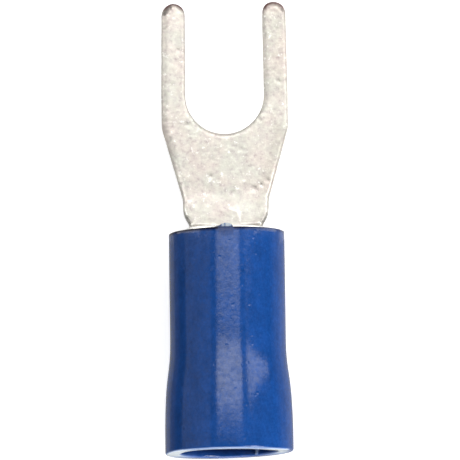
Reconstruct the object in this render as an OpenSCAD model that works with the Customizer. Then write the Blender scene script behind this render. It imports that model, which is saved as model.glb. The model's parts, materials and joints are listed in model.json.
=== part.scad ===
// Insulated fork terminal lying flat, lengths in mm
// The stud axis is Z through the round end of the slot
// The tines point along +Y and the wire leaves along -Y

/* [Tongue] */
// thickness of the stamped sheet
sheet_t = 0.8; // [0.7:0.05:0.9]
// width of the stud slot, twice the radius of its round end
slot_w = 3.7; // [3.2:0.1:4.3]
// width of each tine
tine_w = 1.17; // [0.95:0.01:1.6]
// stud centre forward to the tips of the tines
tip_reach = 4.4; // [3.4:0.1:6]
// stud centre back to the shoulders
shoulder_back = 1.6; // [1.2:0.1:2]
// stud centre back to the end of the taper
taper_back = 5.05; // [4.2:0.05:5.2]
// width of the neck behind the taper
neck_w = 4.1; // [3.7:0.05:4.6]
// width of the waist just ahead of the barrel
waist_w = 3.4; // [3:0.05:3.7]
// length over which the neck narrows to the waist
waist_len = 1.05; // [0.7:0.05:1.2]
// radius rolled onto the upper edges by the punch
edge_roll = 0.2; // [0.12:0.02:0.24]

/* [Barrel] */
// bore of the rolled barrel
bore_d = 2.3; // [1.8:0.1:2.6]
// stud centre back to the front end of the barrel
barrel_back = 6.65; // [6.55:0.05:8]
// length of the barrel along the wire
barrel_len = 6.3; // [4.5:0.1:7]
// open gap between the two rolled edges along the top
seam_gap = 0.08; // [0.04:0.02:0.2]
// length over which the neck curls up to the barrel
curl_len = 0.4; // [0.3:0.05:0.7]
// fillet from the waist out to the front end of the barrel
wing_fillet = 0.2; // [0.15:0.05:0.4]
// funnel cut into the wire end of the bore
bore_lead = 0.2; // [0.1:0.05:0.3]

/* [Sleeve] */
// length of the moulded sleeve
sleeve_len = 10.5; // [9.5:0.1:12]
// wall of the sleeve over the barrel
sleeve_wall = 0.77; // [0.5:0.01:1]
// radial clearance between barrel and sleeve
sleeve_clear = 0.02; // [0.02:0.01:0.05]
// length of bare barrel ahead of the sleeve
barrel_show = 0.18; // [0.1:0.02:0.4]
// bore of the flared wire mouth
mouth_d = 4.6; // [4.4:0.1:5.2]
// wall of the wire mouth
mouth_wall = 0.74; // [0.6:0.02:1]
// wire end forward to the wide end of the flare
flare_from = 1.2; // [1:0.1:1.5]
// length of the flare
flare_len = 3.7; // [3:0.1:4.5]
// share of the flare that leaves the body gently
flare_ease = 0.28; // [0.15:0.01:0.4]
// share of the flare that runs out gently into the mouth
mouth_ease = 0.64; // [0.4:0.01:0.75]
// length of the straight bore in the mouth
mouth_depth = 2; // [1.6:0.1:2.2]
// length of the inner funnel between mouth and seat
funnel_len = 2; // [1.4:0.1:2]
// rounding of the sleeve's end edges
end_round = 0.12; // [0.06:0.01:0.2]
// radius of the moulding pip on the front rim
pip_r = 0.3; // [0.2:0.02:0.34]
// length of the pip ahead of the rim
pip_show = 0.18; // [0.1:0.02:0.2]

/* [Hidden] */
fork_w = slot_w + 2 * tine_w;
bore_r = bore_d / 2;
barrel_r = bore_r + sheet_t;
mid_r = bore_r + sheet_t / 2;
axis_z = barrel_r;
seat_r = barrel_r + sleeve_clear;
body_r = seat_r + sleeve_wall;
mouth_r = mouth_d / 2;
flare_r = mouth_r + mouth_wall;
rim_back = barrel_back + barrel_show;
mouth_back = rim_back + sleeve_len;
tip_r = tine_w / 2;
tine_x = slot_w / 2 + tip_r;
tip_y = tip_reach - tip_r;
waist_back = barrel_back - wing_fillet;
neck_end = waist_back - waist_len;
// the formed neck stands this far inside the barrel wall and reaches this far into it
root_inset = 0.02;
root_tail = 0.4;
over = 1;
across = 24;
roll_steps = 3;
waist_steps = 16;
fillet_steps = 4;
fillet_turn = 75;
flare_steps = 24;
round_steps = 4;
$fn = 96;

function ramp(v) = max(0, min(1, v));
function ease(v) = ramp(v) * ramp(v) * (3 - 2 * ramp(v));
function mix(a, b, v) = a + (b - a) * v;

// share of the step from neck to waist, gentle at first and quick near the barrel
function narrowing(back) = ease(pow(ramp((back - neck_end) / waist_len), 1.5));

// turn along the fillet from the waist out to the barrel
function fillet_at(back) = min(fillet_turn, asin(min(1, (back - waist_back) / wing_fillet)));

// half width of the unrolled sheet at a distance back from the stud
function half_width(back) =
    let (tapered = ramp((back - shoulder_back) / (taper_back - shoulder_back)))
    back <= taper_back ? mix(fork_w / 2, neck_w / 2, tapered) :
    back <= waist_back ? mix(neck_w / 2, waist_w / 2, narrowing(back)) :
    waist_w / 2 + wing_fillet * (1 - cos(fillet_at(back)));

// share of the barrel's curvature that the sheet has taken up
function curl(back) = ease((back - barrel_back + curl_len) / curl_len);

// a point of the formed sheet, from its place across the width and its height above mid thickness
function formed(back, across_at, height) =
    let (bend = curl(back) / mid_r)
    bend < 0.0001 ? [across_at, -back, sheet_t / 2 + height] :
    let (turn = across_at * bend * 180 / PI, reach = 1 / bend - height)
    [reach * sin(turn), -back, sheet_t / 2 + 1 / bend - reach * cos(turn)];

// places across one section, closer along the rolled edges, each with the drop of the upper face
function columns(half) = concat(
    [for (i = [0:roll_steps]) let (a = 90 * i / roll_steps)
        [-half + edge_roll * (1 - cos(a)), edge_roll * (1 - sin(a))]],
    [for (i = [1:across - 1]) [mix(-half + edge_roll, half - edge_roll, i / across), 0]],
    [for (i = [roll_steps:-1:0]) let (a = 90 * i / roll_steps)
        [half - edge_roll * (1 - cos(a)), edge_roll * (1 - sin(a))]]);

function section(back) =
    let (inset = root_inset * curl(back), row = columns(half_width(back) - inset))
    concat(
        [for (c = row) formed(back, c[0], -sheet_t / 2 + inset)],
        [for (c = row) formed(back, c[0], sheet_t / 2 - inset - c[1])]);

stations = concat(
    [shoulder_back, taper_back],
    [for (i = [0:waist_steps]) mix(neck_end, waist_back, i / waist_steps)],
    [for (i = [1:fillet_steps]) waist_back + wing_fillet * sin(fillet_turn * i / fillet_steps)],
    [barrel_back + root_tail]);

// taper, neck and waist, one sheet whose edges curl up to the barrel
module formed_neck() {
    per_row = across + 2 * roll_steps + 1;
    per_section = 2 * per_row;
    last = len(stations) - 1;
    upper = per_row;
    points = [for (back = stations) each section(back)];
    faces = concat(
        [for (s = [0:last - 1], c = [0:per_row - 2])
            let (a = s * per_section + c, b = a + per_section)
            [a, b, b + 1, a + 1]],
        [for (s = [0:last - 1], c = [0:per_row - 2])
            let (a = s * per_section + upper + c, b = a + per_section)
            [a, a + 1, b + 1, b]],
        [for (s = [0:last - 1]) let (a = s * per_section, b = a + per_section)
            [a, a + upper, b + upper, b]],
        [for (s = [0:last - 1]) let (a = s * per_section + per_row - 1, b = a + per_section)
            [a, b, b + upper, a + upper]],
        [for (c = [0:per_row - 2]) [c, c + 1, c + upper + 1, c + upper]],
        [for (c = [0:per_row - 2]) let (a = last * per_section + c)
            [a, a + upper, a + upper + 1, a + 1]]);
    polyhedron(points = points, faces = faces, convexity = 6);
}

// section of the corner that the punch rolls away, out from the edge and down from the upper face
module roll_section() {
    arc = [for (i = [roll_steps:-1:0]) let (a = 90 * i / roll_steps)
        [-edge_roll * (1 - cos(a)), -edge_roll * (1 - sin(a))]];
    first = arc[0] + 0.5 * (arc[0] - arc[1]);
    final = arc[roll_steps] + 0.5 * (arc[roll_steps] - arc[roll_steps - 1]);
    polygon(concat(
        [first],
        [for (i = [1:roll_steps - 1]) arc[i]],
        [final, [over / 4, final[1]], [over / 4, over / 4], [first[0], over / 4]]));
}

// rolled corner along +Y whose outer side faces +X
module straight_roll(x, y_from, y_to) {
    translate([x, y_to, sheet_t])
        rotate([90, 0, 0])
            linear_extrude(y_to - y_from)
                roll_section();
}

// rolled corner round a tip
module tip_roll() {
    translate([tine_x, tip_y, sheet_t])
        rotate_extrude(angle = 180)
            translate([tip_r, 0])
                roll_section();
}

// rolled corner round the inner end of the slot
module slot_roll() {
    translate([0, 0, sheet_t])
        rotate([0, 0, 180])
            rotate_extrude(angle = 180)
                translate([slot_w / 2, 0])
                    mirror([1, 0])
                        roll_section();
}

module fork_outline() {
    translate([-fork_w / 2, -shoulder_back])
        square([fork_w, shoulder_back]);
    for (side = [-1, 1]) {
        translate([side * tine_x - tip_r, -shoulder_back])
            square([tine_w, tip_y + shoulder_back]);
        translate([side * tine_x, tip_y])
            circle(r = tip_r);
    }
}

module fork_plate() {
    difference() {
        linear_extrude(sheet_t)
            fork_outline();
        for (side = [0, 1])
            mirror([side, 0, 0]) {
                straight_roll(fork_w / 2, -shoulder_back - over, tip_y);
                tip_roll();
                mirror([1, 0, 0])
                    straight_roll(-slot_w / 2, 0, tip_y);
            }
    }
}

module barrel() {
    translate([0, -barrel_back, axis_z])
        rotate([90, 0, 0])
            difference() {
                cylinder(r = barrel_r, h = barrel_len);
                translate([0, 0, -over])
                    cylinder(r = bore_r, h = barrel_len + 2 * over);
                translate([0, 0, barrel_len - bore_lead])
                    cylinder(r1 = bore_r, r2 = bore_r + 2 * bore_lead, h = 2 * bore_lead);
                translate([-seam_gap / 2, 0, -over])
                    cube([seam_gap, barrel_r + over, barrel_len + 2 * over]);
            }
}

module fork_terminal() {
    color([0.86, 0.85, 0.82])
        difference() {
            union() {
                fork_plate();
                formed_neck();
                barrel();
            }
            translate([0, 0, -over])
                cylinder(d = slot_w, h = sheet_t + 2 * over);
            slot_roll();
        }
}

// wall of the flare between body and mouth, as distance from the wire end and radius
function flare_point(v) =
    let (along = 3 * pow(1 - v, 2) * v * mouth_ease + 3 * (1 - v) * v * v * (1 - flare_ease) + pow(v, 3))
    [flare_from + flare_len * along, mix(flare_r, body_r, ease(v))];

// quarter round of an end edge, from one direction to the next
function edge_arc(r, s, from) = [for (i = [0:round_steps]) let (a = from + 90 * i / round_steps)
    [r + end_round * cos(a), s + end_round * sin(a)]];

module sleeve_wall_section() {
    polygon(concat(
        edge_arc(mouth_r + end_round, end_round, 180),
        edge_arc(flare_r - end_round, end_round, 270),
        [for (i = [0:flare_steps]) let (p = flare_point(i / flare_steps)) [p[1], p[0]]],
        edge_arc(body_r - end_round, sleeve_len - end_round, 0),
        [[seat_r, sleeve_len], [seat_r, mouth_depth + funnel_len], [mouth_r, mouth_depth]]));
}

module insulating_sleeve() {
    color([0.13, 0.3, 0.6])
        translate([0, -mouth_back, axis_z])
            rotate([-90, 0, 0]) {
                rotate_extrude()
                    sleeve_wall_section();
                translate([0, -seat_r - end_round, sleeve_len + pip_show - pip_r])
                    rotate([90, 0, 0])
                        cylinder(r = pip_r, h = sleeve_wall - 2 * end_round);
            }
}

fork_terminal();
insulating_sleeve();
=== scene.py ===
import json
import math

import bpy
import numpy as np
from mathutils import Matrix, Vector, geometry, noise


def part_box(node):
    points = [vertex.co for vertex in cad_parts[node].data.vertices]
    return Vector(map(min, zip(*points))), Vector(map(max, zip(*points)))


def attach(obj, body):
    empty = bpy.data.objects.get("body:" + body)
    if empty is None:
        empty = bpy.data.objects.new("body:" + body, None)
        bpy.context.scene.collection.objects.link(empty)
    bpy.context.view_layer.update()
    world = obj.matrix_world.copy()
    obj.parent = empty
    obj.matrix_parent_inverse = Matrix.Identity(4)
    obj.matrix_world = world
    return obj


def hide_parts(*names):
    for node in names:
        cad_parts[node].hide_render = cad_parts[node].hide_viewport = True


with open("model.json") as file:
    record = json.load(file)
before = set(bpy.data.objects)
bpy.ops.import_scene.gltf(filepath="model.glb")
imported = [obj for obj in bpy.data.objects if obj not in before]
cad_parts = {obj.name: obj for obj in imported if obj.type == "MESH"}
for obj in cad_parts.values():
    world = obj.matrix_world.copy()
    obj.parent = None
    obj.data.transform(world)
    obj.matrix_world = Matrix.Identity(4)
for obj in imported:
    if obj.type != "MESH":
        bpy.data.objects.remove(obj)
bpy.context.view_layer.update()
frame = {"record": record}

MM = 0.001

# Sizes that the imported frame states, in millimetres like every size here
mounts = {m["name"]: m for m in frame["record"]["mounts"]}


def box_mm(node):
    low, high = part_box(node)
    return [v / MM for v in low], [v / MM for v in high]


metal_low, metal_high = box_mm("fork_terminal")
sleeve_low, sleeve_high = box_mm("insulating_sleeve")
slot_r = mounts["stud_slot"]["dims"]["r_mm"]
bore_r = mounts["wire_barrel"]["dims"]["r_mm"]
mouth_r = mounts["wire_mouth"]["dims"]["r_mm"]
axis_z = mounts["wire_barrel"]["pos_m"][2] / MM
sheet_t = mounts["screw_face"]["pos_m"][2] / MM
fork_half = metal_high[0]
tip_y = metal_high[1]
barrel_rear_y = metal_low[1]
mouth_y = sleeve_low[1]
flare_r = sleeve_high[0]
floor_z = sleeve_low[2] - 0.004

# Outline of the stamped sheet and the curl of its barrel
half_t = sheet_t / 2
mid_r = bore_r + half_t
barrel_r = bore_r + sheet_t
shoulder_y = -1.6
taper_y = -5.05
neck_half = 2.05
neck_end_y = -5.4
waist_half = 1.7
waist_y = -6.45
waist_points = 22
waist_sharpness = 1.5
wing_fillet = 0.2
wing_corner = 0.25
barrel_front_y = -6.65
curl_len = 0.4
seam_gap = 0.08
toe_in = 0.0044
right_tine_extra = 0.05
slot_half = slot_r + 0.028
slot_y = -0.045
smoothing_passes = 5

# Roll of the upper edges: its usual and greatest size, and how it differs from place to place
edge_roll = 0.2
most_roll = 0.42
tip_roll = 1.8
barrel_roll = 0.35
left_reach = 1.8
outer_left_drop = 1.4
inner_left_drop = 0.55
roll_steps = 7

# Rings of points below the roll: inset from the outline, and height above the underside
lower_rings = [(0.06, 0.0), (0.02, 0.006), (0.004, 0.025), (0.0, 0.07), (0.0, half_t - 0.05)]

# Spacing of the points of the sheet
fine_step = 0.055
coarse_step = 0.15
closest = 0.02
tongue_pitch = 0.075
under_pitch = 0.13
hidden_pitch = 0.2

# Unevenness of the outline, of its roll and of the face, as waves: height, size, seed
outline_waves = [(0.006, 0.35, 3.1), (0.004, 0.12, 7.7)]
roll_waves = [(0.22, 0.3, 11.3), (0.12, 0.11, 5.9)]
face_waves = [(0.0035, 0.55, 1.7), (0.0022, 0.2, 4.4)]
neck_rise = 0.04

# Small pits and dents of the punched face: place, radius, depth
pits = [
    (-2.16, 2.1, 0.08, 0.028), (-1.77, -1.48, 0.1, 0.035), (1.66, -1.3, 0.08, 0.025),
    (1.37, -4.61, 0.12, 0.032), (1.7, -4.43, 0.09, 0.026), (2.0, -4.22, 0.1, 0.03),
    (-0.74, -3.97, 0.12, 0.018), (-0.6, -3.2, 0.16, 0.01), (0.75, -2.7, 0.14, 0.01),
    (2.63, 0.53, 0.09, 0.024), (-2.5, 0.4, 0.14, 0.014), (0.35, -4.75, 0.12, 0.012),
    (-2.97, 1.25, 0.1, 0.05), (2.5, 3.1, 0.1, 0.014),
]

# A bright scratch low on the neck, as strokes from one place to another
scratch = [((0.2, -5.53), (0.6, -5.67)), ((0.58, -5.57), (0.68, -6.15))]
scratch_half = 0.05

# Strength of the tin's marks: painted shade round the tips, painted shade on the right margins, painted
# highlight on the neck and barrel, and a bright scratch
tip_shade_most = 0.3
tine_shade = 0.6
taper_shade = 0.7
neck_highlight = 0.07
barrel_highlight = 0.9
bright_scratch = 0.9

# Profile of the sleeve, with its lengths measured from the mouth
sleeve_len = 10.5
sleeve_x = 0.012
body_r = 2.748
seat_r = barrel_r + 0.02
seat_chamfer = 0.05
flare_from = 0.3
flare_len = 5.2
flare_ease = 0.4
flare_steps = 40
mouth_ease = 0.74
mouth_depth = 2.0
funnel_len = 2.0
end_round = 0.12
rim_round = 0.07
profile_step = 0.28

# Marks of the moulding: a pip on the front rim, a rib of flash in the mouth, ends out of square
pip_show = 0.2
pip_half = 0.3
pip_x = -0.02
pip_r = 2.35
pip_span_deg = 9
rib_turn = math.radians(146.5)
rib_slant = 0.083
rib_half = 0.12
rib_rise = 0.05
rib_len = 0.5
rib_fade = 0.4
rim_lean = 0.014
mouth_lean = 0.022
lean_len = 1.5
uneven_share = 0.0008
uneven_round = 1.3
uneven_along = 0.35

# Painted light on the sleeve: painted highlights on the lip, pip and rib, and painted shade in a line
# and patch at the front rim, on the pip and in the mouth
lip_depth = 0.07
lip_corner_x = 2.72
lip_top = 0.7
lip_bottom = 0.12
rim_line = 0.12
rim_wall = 0.24
rim_right = 0.6
patch_half = 0.36
patch_len = 0.26
patch_share = 0.6
pip_shade = 0.35
rib_highlight = 0.55
mouth_dark_from = 0.03
mouth_dark_len = 0.25
white_from = 0.72


def ramp(v):
    return np.clip(v, 0.0, 1.0)


def ease(v):
    v = ramp(v)
    return v * v * (3 - 2 * v)


def rising(v, start, length):
    """Goes smoothly from 0 at the start to 1 a length further on, or further back if it is below 0."""
    return ease((v - start) / length)


def mix(a, b, v):
    return a + (b - a) * v


def wave(points, size, seed):
    """Smooth noise at flat places, from about -1 to 1."""
    places = [Vector((x / size + seed, y / size - seed, seed * 0.37)) for x, y in points]
    return np.array([noise.noise(place) for place in places])


def waves(points, parts):
    return sum(height * wave(points, size, seed) for height, size, seed in parts)


def add_object(name, data):
    obj = bpy.data.objects.new(name, data)
    bpy.context.scene.collection.objects.link(obj)
    return obj


def make_piece(name, points_mm, faces, marks):
    """A smooth mesh object with a value per point for each kind of mark on its surface."""
    mesh = bpy.data.meshes.new(name)
    mesh.from_pydata([tuple(p * MM) for p in points_mm], [], faces)
    for mark, values in marks.items():
        mesh.attributes.new(mark, "FLOAT", "POINT").data.foreach_set("value", values)
    mesh.shade_smooth()
    return add_object(name, mesh)


# The stamped sheet, drawn flat and then formed
def arc(cx, cy, r, start, end, step):
    count = max(4, int(abs(math.radians(end - start)) * r / step))
    angles = np.radians(np.linspace(start, end, count + 1))
    return np.stack([cx + r * np.cos(angles), cy + r * np.sin(angles)], axis=1)


def line(a, b, step):
    count = max(1, int(math.dist(a, b) / step))
    t = np.linspace(0, 1, count + 1)[:, None]
    return np.array(a) * (1 - t) + np.array(b) * t


def right_half():
    """Points of the outline from the rear of the right wing round the right tine to the slot's end."""
    fine, coarse = fine_step, coarse_step
    wing = math.pi * mid_r - seam_gap / 2
    corner_x, corner_y = wing - wing_corner, barrel_front_y - wing_corner
    fillet_x = waist_half + wing_fillet
    tine_r = (fork_half - slot_half) / 2
    tine_y = tip_y - tine_r
    waist_along = np.linspace(waist_y, neck_end_y, waist_points)
    narrowing = ramp((neck_end_y - waist_along) / (neck_end_y - waist_y)) ** waist_sharpness
    waist = np.stack([mix(neck_half, waist_half, ease(narrowing)), waist_along], axis=1)
    parts = [
        line((wing, barrel_rear_y), (wing, corner_y), coarse),
        arc(corner_x, corner_y, wing_corner, 0, 90, fine),
        line((corner_x, barrel_front_y), (fillet_x, barrel_front_y), coarse),
        arc(fillet_x, waist_y, wing_fillet, 270, 180, fine),
        waist,
        line((neck_half, neck_end_y), (neck_half, taper_y), fine),
        line((neck_half, taper_y), (fork_half, shoulder_y), fine),
        line((fork_half, shoulder_y), (fork_half, tine_y), fine),
        arc(slot_half + tine_r, tine_y, tine_r, 0, 180, fine),
        line((slot_half, tine_y), (slot_half, slot_y), fine),
        arc(0, slot_y, slot_half, 0, -90, fine),
    ]
    half = [parts[0][0]]
    for part in parts:
        for p in part:
            if math.dist(half[-1], p) > closest:
                half.append(p)
    half[-1] = (0, slot_y - slot_half)
    return np.array(half)


def sheet_outline():
    half = right_half()
    left = half[-2::-1] * np.array([-1, 1])
    rear = line(left[-1], half[0], coarse_step)[1:-1]
    loop = np.concatenate([half, left, rear])
    for _ in range(smoothing_passes):
        loop = loop * 0.5 + (np.roll(loop, 1, axis=0) + np.roll(loop, -1, axis=0)) * 0.25
    loop[:, 0] *= 1 - toe_in * np.maximum(loop[:, 1], 0)
    loop[:, 1] += right_tine_extra * rising(loop[:, 0], 1.5, 0.3) * rising(loop[:, 1], 2, 2.5)
    return loop


def inward(loop):
    """Directions square to an outline, into the sheet."""
    along = np.roll(loop, -1, axis=0) - np.roll(loop, 1, axis=0)
    along /= np.linalg.norm(along, axis=1)[:, None]
    return np.stack([-along[:, 1], along[:, 0]], axis=1)


def edge_rings():
    """Rings of points from the underside up over the rolled edge: places, heights, bare copper."""
    loop = sheet_outline()
    normal = inward(loop)
    loop = loop + normal * waves(loop, outline_waves)[:, None]
    y = loop[:, 1]
    at_tip = rising(y, tip_y - 0.55, 0.4)
    at_barrel = rising(y, waist_y, barrel_front_y - waist_y - 0.1)
    faces_left = rising(normal[:, 0], 0.2, 0.5) * rising(y, -5.6, 0.8)
    left_drop = np.where(loop[:, 0] < 0, outer_left_drop, inner_left_drop)
    roll = edge_roll * (1 + waves(loop, roll_waves))
    roll *= mix(1, barrel_roll, at_barrel) * mix(1, tip_roll, at_tip)
    reach = np.minimum(roll * mix(1, left_reach, faces_left), most_roll)
    drop = np.minimum(roll * mix(1, left_drop, faces_left), most_roll)
    flats, heights, bare = [], [], []
    for inset, height in lower_rings:
        flats.append(loop + normal * inset)
        heights.append(np.full(len(loop), height - half_t))
        bare.append(at_tip)
    for i in range(roll_steps + 1):
        a = math.radians(90 * i / roll_steps)
        flats.append(loop + normal * (reach * (1 - math.cos(a)))[:, None])
        heights.append(half_t - drop * (1 - math.sin(a)))
        # the bare copper of the tips fades out over the roll
        bare.append(at_tip * max(ramp(2.4 - i / 2), 0.15))
    return flats, heights, bare


def inside_with_margin(points, loop, margin, batch=2000):
    """Those of the points that lie inside an outline and keep a margin from it."""
    a, b = loop, np.roll(loop, -1, axis=0)
    keep = np.zeros(len(points), bool)
    for start in range(0, len(points), batch):
        p = points[start:start + batch, None, :]
        crosses = (a[:, 1] > p[:, :, 1]) != (b[:, 1] > p[:, :, 1])
        with np.errstate(divide="ignore", invalid="ignore"):
            at = (b[:, 0] - a[:, 0]) * (p[:, :, 1] - a[:, 1]) / (b[:, 1] - a[:, 1]) + a[:, 0]
        odd = (crosses & (p[:, :, 0] < at)).sum(axis=1) % 2 == 1
        near = np.min(np.sum((p - a) ** 2, axis=2), axis=1) < margin * margin
        keep[start:start + batch] = odd & ~near
    return points[keep]


def hex_grid(low, high, pitch):
    """Points in staggered rows over a rectangle."""
    row_pitch = pitch * 0.866
    rows = []
    y, odd = low[1], False
    while y < high[1]:
        x = np.arange(low[0] + (pitch / 2 if odd else 0), high[0], pitch)
        rows.append(np.stack([x, np.full(len(x), y)], axis=1))
        y, odd = y + row_pitch, not odd
    return np.concatenate(rows)


def filled(loop, pitch):
    """Points inside an outline, spaced wider inside the sleeve, and the faces over all of them."""
    wide = np.abs(loop[:, 0]).max()
    tongue = hex_grid((-fork_half, barrel_front_y), (fork_half, tip_y), pitch)
    barrel = hex_grid((-wide, barrel_rear_y), (wide, barrel_front_y - 0.05), hidden_pitch)
    inner = np.concatenate([
        inside_with_margin(tongue, loop, pitch * 0.7),
        inside_with_margin(barrel, loop, hidden_pitch * 0.6)])
    coords = [Vector(p) for p in np.concatenate([loop, inner])]
    count = len(loop)
    edges = [(i, (i + 1) % count) for i in range(count)]
    verts, _, faces, *_ = geometry.delaunay_2d_cdt(coords, edges, [list(range(count))], 1, 1e-6)
    if len(verts) != len(coords):
        raise RuntimeError("the sheet's filling moved its outline")
    return inner, faces


def unevenness(flat):
    """How far the face stands out: waves, pits and a rise towards the barrel."""
    rise = waves(flat, face_waves)
    for x, y, r, depth in pits:
        away = np.hypot(flat[:, 0] - x, flat[:, 1] - y) / r
        rise -= depth * np.exp(-away * away)
    return rise + neck_rise * rising(flat[:, 1], -4.6, -1.4)


def formed(flat, height):
    """Bends flat places and heights above the middle of the sheet into the formed sheet."""
    bend = rising(flat[:, 1], barrel_front_y + curl_len, -curl_len) / mid_r
    # the tongue keeps a bend too small to see, so that one rule forms it all
    bend = np.maximum(bend, 1e-5)
    turn = flat[:, 0] * bend
    reach = 1 / bend - height
    rise = half_t + 1 / bend - reach * np.cos(turn)
    return np.stack([reach * np.sin(turn), flat[:, 1], rise], axis=1)


def from_stroke(points, start, end):
    """Distances of points from a straight stroke."""
    start, along = np.array(start), np.subtract(end, start)
    share = ramp((points - start) @ along / (along @ along))
    return np.linalg.norm(points - start - share[:, None] * along, axis=1)


def tin_marks(flat, is_top, bare):
    """Bare copper at the tips with painted shade round it, painted shade on the right margins, a painted
    highlight on the neck and barrel, and a bright scratch.
    """
    x, y = flat[:, 0], flat[:, 1]
    # painted shade round the tips, in copper brown
    from_tip = np.hypot(np.abs(x) - (fork_half + slot_half) / 2, y - tip_y + 0.56)
    tip_shade = tip_shade_most * rising(from_tip, 0.2, 0.4) * rising(y, tip_y - 0.9, 0.6)
    taper_at = ramp((y - taper_y) / (shoulder_y - taper_y))
    from_side = mix(neck_half, fork_half, taper_at) - x
    # painted shade on the right tine and on the right margin of the taper
    painted_tin_shade = tine_shade * rising(x, 1.9, 0.6) * rising(y, -1.0, 2.0)
    painted_tin_shade += taper_shade * rising(from_side, 0.9, -0.5) * rising(y, -1.0, -1.0)
    # painted highlight on the neck and the front of the barrel; the scratch below is a mark of wear
    highlight_and_scratch = neck_highlight * rising(y, -3.8, -1.6) + barrel_highlight * rising(y, -6.3, -0.2)
    for start, end in scratch:
        away = from_stroke(flat, start, end) / scratch_half
        highlight_and_scratch = np.maximum(highlight_and_scratch, bright_scratch * np.exp(-away * away) * is_top)
    return {"bare": np.maximum(bare, tip_shade), "painted_tin_shade": painted_tin_shade, "highlight_and_scratch": highlight_and_scratch}


def stamped_sheet():
    flats, heights, bare = edge_rings()
    count, ring_count = len(flats[0]), len(flats)
    faces = []
    for r in range(ring_count - 1):
        for i in range(count):
            j = (i + 1) % count
            faces.append([r * count + i, r * count + j, (r + 1) * count + j, (r + 1) * count + i])

    upper_inner, upper_faces = filled(flats[-1], tongue_pitch)
    lower_inner, lower_faces = filled(flats[0], under_pitch)
    top_ring = (ring_count - 1) * count
    upper_start = ring_count * count
    lower_start = upper_start + len(upper_inner)
    for face in upper_faces:
        faces.append([top_ring + v if v < count else upper_start + v - count for v in face])
    for face in lower_faces:
        faces.append([v if v < count else lower_start + v - count for v in face][::-1])
    flats += [upper_inner, lower_inner]
    heights += [np.full(len(upper_inner), half_t), np.full(len(lower_inner), -half_t)]
    bare += [np.zeros(len(upper_inner) + len(lower_inner))]

    flat, height = np.concatenate(flats), np.concatenate(heights)
    is_top = ramp((height + half_t) / sheet_t)
    shape = formed(flat, height + unevenness(flat) * is_top)
    return make_piece("tinned_sheet", shape, faces, tin_marks(flat, is_top, np.concatenate(bare)))


# The moulded sleeve, turned round the wire axis
def edge_arc(r, s, start, steps, rounding):
    angles = [math.radians(start + 90 * i / steps) for i in range(steps + 1)]
    return [(r + rounding * math.cos(a), s + rounding * math.sin(a)) for a in angles]


def flare_point(v):
    """Radius and length on the flare's curve, from the mouth at 0 to the body at 1."""
    along = 3 * (1 - v) ** 2 * v * mouth_ease + 3 * (1 - v) * v * v * (1 - flare_ease) + v ** 3
    return float(mix(flare_r, body_r, ease(v))), flare_from + flare_len * along


def subdivided(points, step):
    """A closed profile with its longer sides split up."""
    out = []
    for a, b in zip(points, points[1:] + points[:1]):
        count = max(1, int(math.dist(a, b) / step))
        out += [(mix(a[0], b[0], i / count), mix(a[1], b[1], i / count)) for i in range(count)]
    return out


def sleeve_profile():
    """Radii and lengths round the section: lip, flare, body, front rim, seat, funnel and mouth."""
    profile = edge_arc(mouth_r + end_round, end_round, start=180, steps=5, rounding=end_round)
    profile += edge_arc(flare_r - end_round, end_round, start=270, steps=5, rounding=end_round)
    profile += [flare_point(i / flare_steps) for i in range(flare_steps + 1)]
    profile += [(body_r, sleeve_len - 0.2)]
    profile += edge_arc(body_r - rim_round, sleeve_len - rim_round, start=0, steps=6, rounding=rim_round)
    rim = np.linspace(body_r - rim_round, seat_r + seat_chamfer, 16)
    profile += [(r, sleeve_len) for r in rim[1:]]
    profile += [(seat_r, sleeve_len - seat_chamfer)]
    profile += [(seat_r, mouth_depth + funnel_len), (mouth_r, mouth_depth)]
    return subdivided(profile, profile_step)


def sleeve_turns():
    """Angles from the top, closer together at the pip and at the rib."""
    at_pip = np.radians(np.arange(-pip_span_deg, pip_span_deg + 0.01, 0.45))
    at_rib = np.arange(rib_turn - 0.14, rib_turn + 0.06, 0.011)
    rest = np.radians(np.linspace(pip_span_deg, 360 - pip_span_deg, 229)[1:-1])
    rest = rest[(rest < at_rib[0] - 0.01) | (rest > at_rib[-1] + 0.01)]
    return np.concatenate([at_pip, np.sort(np.concatenate([rest, at_rib]))])


def lip_highlight(r, s, around):
    """How strong the painted highlight on the lip is: most at its sides, little below and not at all at
    its right corner.
    """
    upper = mix(lip_top, 1, rising(abs(around), 0.55, 0.4))
    paleness = mix(lip_bottom, upper, rising(abs(around), 2.6, -1.0))
    at_corner = rising(r * math.sin(around), lip_corner_x, 0.15)
    return paleness * (1 - rising(s, 0, lip_depth)) * (1 - at_corner)


def rim_shade(r, s, side):
    """How strong the painted shade is in the line round the front rim: less on the right, and at the pip
    a longer patch.
    """
    by_pip = rising(abs(side - pip_x), patch_half, -0.1)
    at_rim = rising(s, sleeve_len - rim_line, 0.05) * rising(r, body_r - rim_wall, 0.1)
    depth = mix(1, rim_right, rising(side, 0, 2)) * at_rim * (1 - patch_share * by_pip)
    if r > body_r - 0.1:
        depth = max(depth, patch_share * by_pip * rising(s, sleeve_len - patch_len, 0.1))
    return depth


def rib_share(turn, s):
    """How much of the rib's rise a place in the mouth has."""
    beside = abs(turn - rib_turn + rib_slant * s) * mouth_r / rib_half
    return ease(1.4 * (1 - beside)) * (1 - rising(s, rib_len, rib_fade))


def pip_lift(r, side):
    """How far the pip stands out of the rim: a dome with a lower shoulder on its left."""
    dome = ramp(1 - ((side - pip_x) / pip_half) ** 2) ** 0.5
    if side < 0:
        dome = max(dome, 0.45 * rising(side, -0.62, 0.32))
    from_wall = min(r - seat_r - 0.08, body_r - 0.08 - r)
    return pip_show * dome * rising(from_wall, 0, 0.1)


def pip_highlight(lift, side):
    """How strong the painted highlight on the pip is, with a darker notch left of its middle."""
    notch = 1 - 0.6 * ease(1 - abs(side + 0.07) / 0.05)
    return notch * ease(lift / pip_show * 5 - 0.4) * rising(abs(side), 0.24, -0.06)


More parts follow.
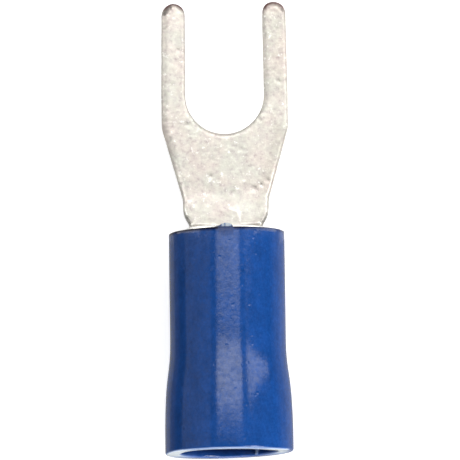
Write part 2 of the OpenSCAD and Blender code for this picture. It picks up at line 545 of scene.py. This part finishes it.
def out_of_square(x, s, around):
    """How far the two ends lean, the mouth hardly at its top."""
    below_top = mix(0.1, 1, rising(abs(around), 0.8, 0.7))
    lean = rim_lean * x * rising(s, sleeve_len - lean_len, lean_len)
    return lean + mouth_lean * below_top * x * (1 - rising(s, 0, lean_len))


def moulded_sleeve():
    profile, turns = sleeve_profile(), sleeve_turns()
    points, pale, pvc_painted_shade = [], [], []
    for r, s in profile:
        for turn in turns:
            around = (turn + math.pi) % (2 * math.pi) - math.pi
            side = math.sin(around) * pip_r
            lift, rib = 0.0, 0.0
            # a painted highlight on the lip and painted shade at the front rim
            highlighted, shade_here = lip_highlight(r, s, around), rim_shade(r, s, side)
            if r < mouth_r + 0.01 and s < mouth_depth + 0.01:
                rib = rib_share(turn, s)
                # the rib of flash gets a painted highlight
                highlighted = max(highlighted, rib_highlight * rib)
                # the wall of the mouth gets painted shade, deeper inwards
                shade_here = rising(s, mouth_dark_from, mouth_dark_len)
            if s > sleeve_len - 0.02 and abs(around) < 0.3:
                # the pip gets a painted highlight on top and painted shade on its flanks
                lift = pip_lift(r, side)
                highlighted = pip_highlight(lift, side)
                shade_here = mix(shade_here, pip_shade, rising(lift, 0, 0.05))
            pale.append(highlighted)
            pvc_painted_shade.append(shade_here)
            across, up = math.sin(turn), math.cos(turn)
            place = Vector((up * uneven_round, across * uneven_round, s * uneven_along))
            out = r * (1 + uneven_share * noise.noise(place)) - rib_rise * rib
            x, z = sleeve_x + out * across, axis_z + out * up
            lift += out_of_square(x, s, around)
            points.append((x, mouth_y + s + lift, z))
    rows, columns = len(profile), len(turns)
    faces = []
    for i in range(rows):
        for j in range(columns):
            k, m = (i + 1) % rows, (j + 1) % columns
            faces.append([i * columns + j, k * columns + j, k * columns + m, i * columns + m])
    # the marks hold the painted highlights and the painted shade
    white = ramp((np.array(pale) - white_from) / (1 - white_from))
    marks = {"pale": pale, "white": white, "pvc_painted_shade": pvc_painted_shade}
    return make_piece("blue_sleeve", np.array(points), faces, marks)


# Materials: their colours, and how bright the floor is to the eye and in reflections
# bright tin, for the flecks and for the painted highlight
bright_tin = (0.86, 0.845, 0.8)
# tint of the painted shade on the tin's right margins
tin_shade_tint = (0.86, 0.845, 0.83)
# copper of the bare tips, also used for the painted shade round them
bare_copper = (0.14, 0.06, 0.055)
dark_blue = (0.006, 0.06, 0.26)
light_blue = (0.014, 0.103, 0.44)
# colour of the sleeve's painted shade
shade_blue = (0.006, 0.006, 0.035)
# colours of the sleeve's painted highlights
highlight_blue = (0.5, 0.68, 1.0)
highlight_white = (0.84, 0.93, 1.0)
floor_seen = 0.72
floor_reflected = 0.05


def grey(v):
    return v, v, v


def new_material(name):
    mat = bpy.data.materials.new(name)
    mat.use_nodes = True
    return mat, mat.node_tree, mat.node_tree.nodes["Principled BSDF"]


def texture_space(tree):
    """The piece's own coordinates, in mm."""
    coords = tree.nodes.new("ShaderNodeTexCoord")
    node = tree.nodes.new("ShaderNodeMapping")
    node.inputs["Scale"].default_value = (1 / MM, 1 / MM, 1 / MM)
    tree.links.new(coords.outputs["Object"], node.inputs["Vector"])
    return node.outputs["Vector"]


def add_noise(tree, vector, scale, detail, rough=0.5):
    node = tree.nodes.new("ShaderNodeTexNoise")
    node.inputs["Scale"].default_value = scale
    node.inputs["Detail"].default_value = detail
    node.inputs["Roughness"].default_value = rough
    tree.links.new(vector, node.inputs["Vector"])
    return node.outputs["Fac"]


def add_ramp(tree, fac, *stops):
    node = tree.nodes.new("ShaderNodeValToRGB")
    elements = node.color_ramp.elements
    while len(elements) < len(stops):
        elements.new(0.5)
    for element, (place, colour) in zip(elements, stops):
        element.position = place
        element.color = (*colour, 1)
    tree.links.new(fac, node.inputs["Fac"])
    return node.outputs["Color"]


def add_bump(tree, height, strength, distance, below=None):
    """A bump of a distance in mm, on top of another one if that is given."""
    node = tree.nodes.new("ShaderNodeBump")
    node.inputs["Strength"].default_value = strength
    node.inputs["Distance"].default_value = distance * MM
    tree.links.new(height, node.inputs["Height"])
    if below is not None:
        tree.links.new(below, node.inputs["Normal"])
    return node.outputs["Normal"]


def blend(tree, fac, colour, other, kind="MIX"):
    """Blends a colour with another by a share, or wholly where no share is given."""
    node = tree.nodes.new("ShaderNodeMix")
    node.data_type = "RGBA"
    node.blend_type = kind
    node.inputs["Factor"].default_value = 1.0
    if fac is not None:
        tree.links.new(fac, node.inputs["Factor"])
    tree.links.new(colour, node.inputs["A"])
    if isinstance(other, tuple):
        node.inputs["B"].default_value = (*other, 1)
    else:
        tree.links.new(other, node.inputs["B"])
    return node.outputs["Result"]


def blend_by_mark(tree, mark, colour, marked, kind="MIX"):
    """Blends a colour with another where the mesh carries the mark."""
    attribute = tree.nodes.new("ShaderNodeAttribute")
    attribute.attribute_name = mark
    return blend(tree, attribute.outputs["Fac"], colour, marked, kind)


def add_math(tree, operation, first, second):
    node = tree.nodes.new("ShaderNodeMath")
    node.operation = operation
    tree.links.new(first, node.inputs[0])
    if isinstance(second, float):
        node.inputs[1].default_value = second
    else:
        tree.links.new(second, node.inputs[1])
    return node.outputs[0]


def tin_material():
    mat, tree, shader = new_material("tinned_copper")
    space = texture_space(tree)
    shader.inputs["Metallic"].default_value = 1.0
    grain = add_noise(tree, space, scale=5.5, detail=4, rough=0.6)
    colour = add_ramp(
        tree, grain, (0.27, (0.4, 0.36, 0.345)), (0.42, (0.52, 0.49, 0.46)), (0.5, (0.545, 0.525, 0.48)),
        (0.6, (0.575, 0.56, 0.502)), (0.74, (0.665, 0.655, 0.61)))
    cloud = add_noise(tree, space, scale=1.0, detail=3)
    tint = add_ramp(tree, cloud, (0.38, (1.045, 0.99, 0.985)), (0.62, (1.0, 1.01, 0.99)))
    colour = blend(tree, None, colour, tint, "MULTIPLY")
    spots = add_noise(tree, space, scale=3.4, detail=3, rough=0.7)
    fleck = add_ramp(tree, spots, (0.61, grey(0)), (0.69, grey(0.8)))
    colour = blend(tree, fleck, colour, bright_tin)
    # painted shade on the right margins
    colour = blend_by_mark(tree, "painted_tin_shade", colour, tin_shade_tint, "MULTIPLY")
    # painted highlight on the neck and barrel, and the bright scratch
    colour = blend_by_mark(tree, "highlight_and_scratch", colour, bright_tin)
    # bare copper at the tips, with painted shade round them
    colour = blend_by_mark(tree, "bare", colour, bare_copper)
    tree.links.new(colour, shader.inputs["Base Color"])
    patches = add_noise(tree, space, scale=3.2, detail=2)
    rough = add_ramp(tree, patches, (0.3, grey(0.38)), (0.7, grey(0.52)))
    tree.links.new(rough, shader.inputs["Roughness"])
    dents = add_noise(tree, space, scale=5.0, detail=2)
    normal = add_bump(tree, dents, strength=0.35, distance=0.012)
    normal = add_bump(tree, grain, strength=0.5, distance=0.008, below=normal)
    tree.links.new(normal, shader.inputs["Normal"])
    return mat


def pvc_material():
    mat, tree, shader = new_material("blue_pvc")
    space = texture_space(tree)
    shader.inputs["IOR"].default_value = 1.53
    cloud = add_noise(tree, space, scale=1.2, detail=8, rough=0.8)
    colour = add_ramp(tree, cloud, (0.3, dark_blue), (0.7, light_blue))
    grain = add_noise(tree, space, scale=8.0, detail=2, rough=0.6)
    speckle = add_ramp(tree, grain, (0.3, grey(0.9)), (0.7, grey(1.1)))
    colour = blend(tree, None, colour, speckle, "MULTIPLY")
    # painted shade: the line and patch at the front rim, the pip's flanks and the inside of the mouth
    colour = blend_by_mark(tree, "pvc_painted_shade", colour, shade_blue)
    # painted highlights on the lip, pip and rib, whitest where the white mark is
    colour = blend_by_mark(tree, "pale", colour, highlight_blue)
    colour = blend_by_mark(tree, "white", colour, highlight_white)
    tree.links.new(colour, shader.inputs["Base Color"])
    patches = add_noise(tree, space, scale=4.0, detail=2)
    rough = add_ramp(tree, patches, (0.3, grey(0.12)), (0.7, grey(0.18)))
    tree.links.new(rough, shader.inputs["Roughness"])
    matt = add_noise(tree, space, scale=4.5, detail=4, rough=0.65)
    gloss = add_ramp(tree, matt, (0.35, grey(0.72)), (0.65, grey(0.36)))
    # where the shade is painted, the gloss is lowered too
    gloss = blend_by_mark(tree, "pvc_painted_shade", gloss, grey(0.1))
    tree.links.new(gloss, shader.inputs["Specular IOR Level"])
    skin = add_noise(tree, space, scale=5.0, detail=4, rough=0.6)
    normal = add_bump(tree, skin, strength=0.8, distance=0.005)
    specks = tree.nodes.new("ShaderNodeTexVoronoi")
    specks.inputs["Scale"].default_value = 2.2
    tree.links.new(space, specks.inputs["Vector"])
    pocks = add_ramp(tree, specks.outputs["Distance"], (0.08, grey(0)), (0.2, grey(1)))
    normal = add_bump(tree, pocks, strength=0.45, distance=0.01, below=normal)
    tree.links.new(normal, shader.inputs["Normal"])
    return mat


def floor_material():
    """A sheet that is white to the eye and faint in reflections, and still takes a shadow."""
    mat, tree, shader = new_material("pale_floor")
    shader.inputs["Base Color"].default_value = (*grey(0.85), 1)
    shader.inputs["Roughness"].default_value = 0.9
    shader.inputs["Specular IOR Level"].default_value = 0.0
    path = tree.nodes.new("ShaderNodeLightPath")
    direct = add_math(tree, "MULTIPLY", path.outputs["Is Camera Ray"], floor_seen)
    reflected = add_math(tree, "MULTIPLY", path.outputs["Is Glossy Ray"], floor_reflected)
    shader.inputs["Emission Color"].default_value = (*grey(1), 1)
    tree.links.new(add_math(tree, "ADD", direct, reflected), shader.inputs["Emission Strength"])
    return mat


def card_material(name, glow, shade):
    mat, _, shader = new_material(name)
    shader.inputs["Base Color"].default_value = (*grey(shade), 1)
    shader.inputs["Roughness"].default_value = 0.9
    shader.inputs["Emission Color"].default_value = (*grey(1), 1)
    shader.inputs["Emission Strength"].default_value = glow
    return mat


sheet = stamped_sheet()
sheet.data.materials.append(tin_material())
sleeve = moulded_sleeve()
sleeve.data.materials.append(pvc_material())
for piece, node, slot in (
        (sheet, "fork_terminal", "tinned_copper"),
        (sleeve, "insulating_sleeve", "blue_pvc")):
    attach(piece, "root")
    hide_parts(node)


# Floor
def add_quad(name, corners, material):
    mesh = bpy.data.meshes.new(name)
    mesh.from_pydata([tuple(Vector(c) * MM) for c in corners], [], [(0, 1, 2, 3)])
    mesh.materials.append(material)
    return add_object(name, mesh)


def level_corners(left, right, rear, front, z=floor_z + 0.02):
    """Corners of a level quad, just above the floor unless another height is given."""
    return [(left, rear, z), (right, rear, z), (right, front, z), (left, front, z)]


floor = add_quad("floor", level_corners(-600, 600, -600, 600, floor_z), floor_material())


# Lamps
def softbox(name, place, aim, width, height, level):
    """A rectangular lamp of a given radiance, in mm."""
    data = bpy.data.lights.new(name, "AREA")
    data.shape = "RECTANGLE"
    data.size, data.size_y = width * MM, height * MM
    data.energy = level * math.pi * data.size * data.size_y
    obj = add_object(name, data)
    obj.location = Vector(place) * MM
    obj.rotation_euler = (Vector(aim) - Vector(place)).to_track_quat("-Z", "Y").to_euler()
    obj.visible_camera = False
    return obj


centre = (0, -6.5, 1.5)
below = (6, -6.5, 1.5)
strip_height = 20
softbox("overhead_box", (6, 61.7, 150), below, width=142, height=121.6, level=1.5)
softbox("overhead_front", (6, 66.2, 150), below, width=142, height=118, level=1.3)
softbox("key_box", (120, -115, 95), centre, width=95, height=95, level=8.0)
left_fill = softbox("left_fill", (-150, 0, 80), centre, width=150, height=190, level=0.33)
left_fill.visible_diffuse = False
softbox("mouth_fill", (0, -150, 25), centre, width=120, height=40, level=6.0)
# strips that show only in reflections, for the rolled edges of the fork: name, place, aim, width, level
for name, place, aim, width, level in (
        ("left_strip", (-9, 2.7, 10), (0, 2.7, 10), 7.0, 1.15),
        ("right_strip", (9, 2.3, 10), (0, 2.3, 10), 7.8, 1.1),
        ("left_taper_strip", (-9, -4.1, 10), (0, -4.1, 10), 2.6, 0.7),
        ("right_taper_strip", (9, -3.5, 10), (0, -3.5, 10), 3.8, 0.7),
        ("tip_strip", (0, 14, 10), (0, 0, 10), 18, 1.05)):
    softbox(name, place, aim, width, strip_height, level).visible_diffuse = False


# Cards that show only in reflections, dark or glowing
def card(name, corners, glow=0.0, shade=0.0):
    obj = add_quad(name, corners, card_material(name, glow, shade))
    obj.visible_camera = False
    obj.visible_diffuse = False
    obj.visible_shadow = False


def upright_corners(x, low, high, rear=mouth_y - 3, front=mouth_y + sleeve_len + 1):
    """Corners of an upright card, which runs past both ends of the sleeve unless told otherwise."""
    return [(x, rear, low), (x, front, low), (x, front, high), (x, rear, high)]


card_x = 7.3
rim_y = mouth_y + sleeve_len
left_split_y = rim_y - 1.2
fork_split_x = 2.2
card("left_card", upright_corners(-card_x, low=1.3, high=3.7, front=left_split_y), shade=0.02)
card("left_front_card", upright_corners(-card_x, low=1.3, high=3.7, rear=left_split_y), glow=0.09)
card("left_low_card", upright_corners(-card_x, low=floor_z, high=1.3), glow=0.14)
card("right_card", upright_corners(card_x, low=3.3, high=4.5), shade=0.01)
card("right_high_card", upright_corners(card_x, low=2.2, high=3.3), glow=0.1)
card("right_mid_card", upright_corners(card_x, low=0.2, high=2.2), glow=0.27)
card("right_low_card", upright_corners(card_x, low=floor_z, high=0.2), glow=0.4)
card("left_floor_card", level_corners(-card_x, -0.5, rear=mouth_y - 1, front=rim_y), glow=0.36)
card("right_floor_card", level_corners(0.5, card_x, rear=mouth_y - 1, front=rim_y), glow=0.4)
card("fork_floor_card", level_corners(-5, fork_split_x, rear=-6, front=8), glow=0.9)
card("fork_side_card", level_corners(fork_split_x, 6, rear=-6, front=8), glow=1.7)
for side in (-1, 1):
    card("barrel_card_%d" % (side + 1), upright_corners(5 * side, 2, 7, rear=-6.55, front=-4), glow=3.2)
# a slanted window to the right and ahead, which lights a wedge on the flare
flare_middle = Vector((0, mouth_y + flare_from + flare_len / 2, axis_z))
window_away = 150
window_top = Vector((0.585, 0.16, 0.8))
window_front = Vector((0.478, 0.6, 0.641))
window_low = Vector((0.953, 0.3, -0.033))
window = [window_top, window_front, window_front + window_low - window_top, window_low]
card("window_card", [flare_middle + window_away * d for d in window], glow=2.3)

# World and camera
world = bpy.data.worlds.new("studio")
world.use_nodes = True
background = world.node_tree.nodes["Background"]
background.inputs["Color"].default_value = (0.06, 0.06, 0.063, 1)
background.inputs["Strength"].default_value = 1.0
bpy.context.scene.world = world

photo_pixels = 460
pixels_per_mm = 21.06
elevation = math.radians(83.5)
camera_roll = math.radians(0.77)
target = Vector((0.177, -6.695, axis_z))
cam_data = bpy.data.cameras.new("camera")
cam_data.sensor_width = 36
cam_data.lens = 600
cam_data.clip_start, cam_data.clip_end = 1 * MM, 10
distance = photo_pixels / pixels_per_mm * cam_data.lens / cam_data.sensor_width
back = Vector((0, -math.cos(elevation), math.sin(elevation)))
facing = (-back).to_track_quat("-Z", "Y").to_matrix() @ Matrix.Rotation(-camera_roll, 3, "Z")
camera = add_object("camera", cam_data)
camera.matrix_world = Matrix.Translation((target + back * distance) * MM) @ facing.to_4x4()
bpy.context.scene.camera = camera
bpy.context.scene.view_settings.view_transform = "Standard"

bpy.context.view_layer.update()
